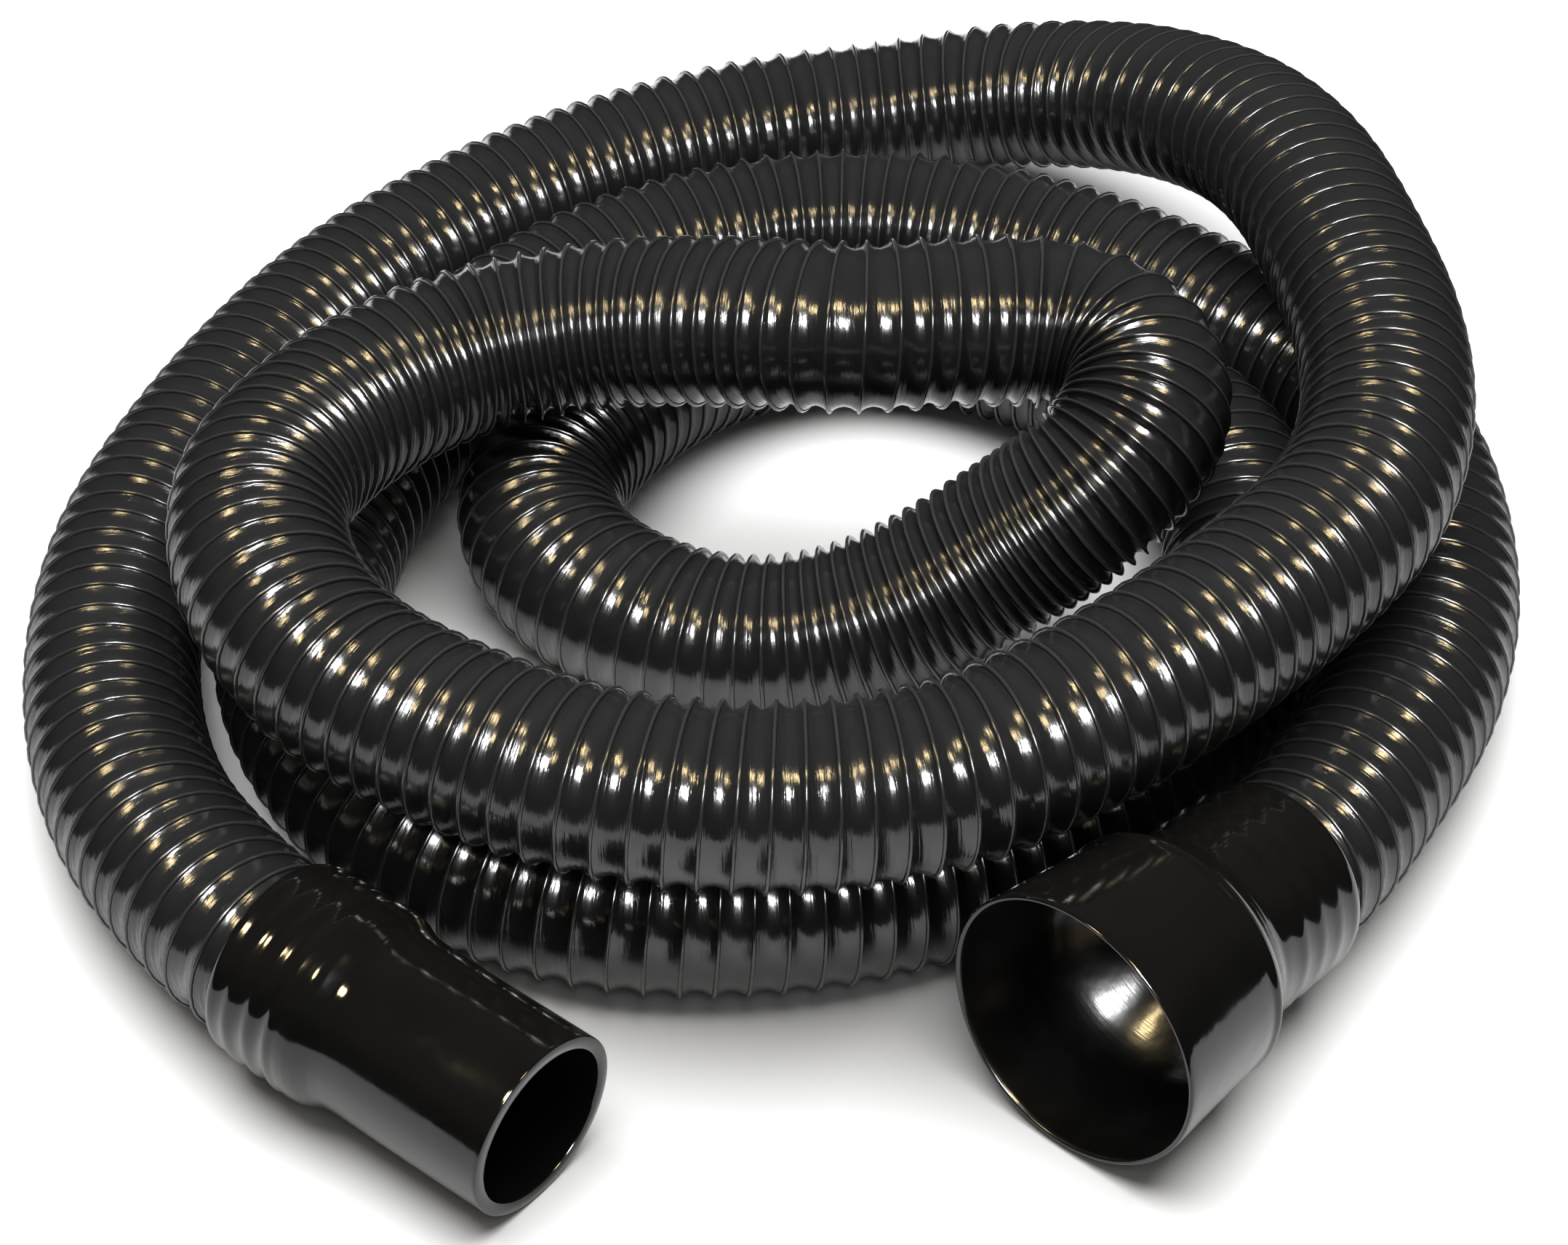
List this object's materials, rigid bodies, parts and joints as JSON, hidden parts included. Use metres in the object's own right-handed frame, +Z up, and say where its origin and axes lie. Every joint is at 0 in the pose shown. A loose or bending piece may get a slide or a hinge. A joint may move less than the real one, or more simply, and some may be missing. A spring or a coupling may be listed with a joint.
{
  "type": "vacuum hose",
  "caption": "Ribbed wire-reinforced vacuum hose lying in loose loops, with a straight cuff on one end and a wide bell cuff on the other.",
  "frame": {"origin": "on the floor, below the middle of the pile of loops", "axes": "+Z up from the floor, +Y away from the side where both cuffs lie, +X to the right as seen from that side"},
  "size_m": [0.5209, 0.6109, 0.1436],
  "materials": {
    "ribbed_vinyl": "glossy charcoal vinyl",
    "straight_cuff_vinyl": "very glossy near-black vinyl",
    "bell_cuff_vinyl": "very glossy near-black vinyl"
  },
  "bodies": {
    "hose": {"hose": "ribbed_vinyl"},
    "straight_cuff": {"straight_cuff": "straight_cuff_vinyl"},
    "bell_cuff": {"bell_cuff": "bell_cuff_vinyl"}
  },
  "joints": [
    {"name": "straight_cuff_pull", "type": "slide", "parent": "hose", "child": "straight_cuff", "axis": [0.7898, -0.6118, -0.043], "range_m": [0, 0.05]},
    {"name": "bell_cuff_pull", "type": "slide", "parent": "hose", "child": "bell_cuff", "axis": [-0.6749, -0.733, 0.085], "range_m": [0, 0.05]}
  ]
}
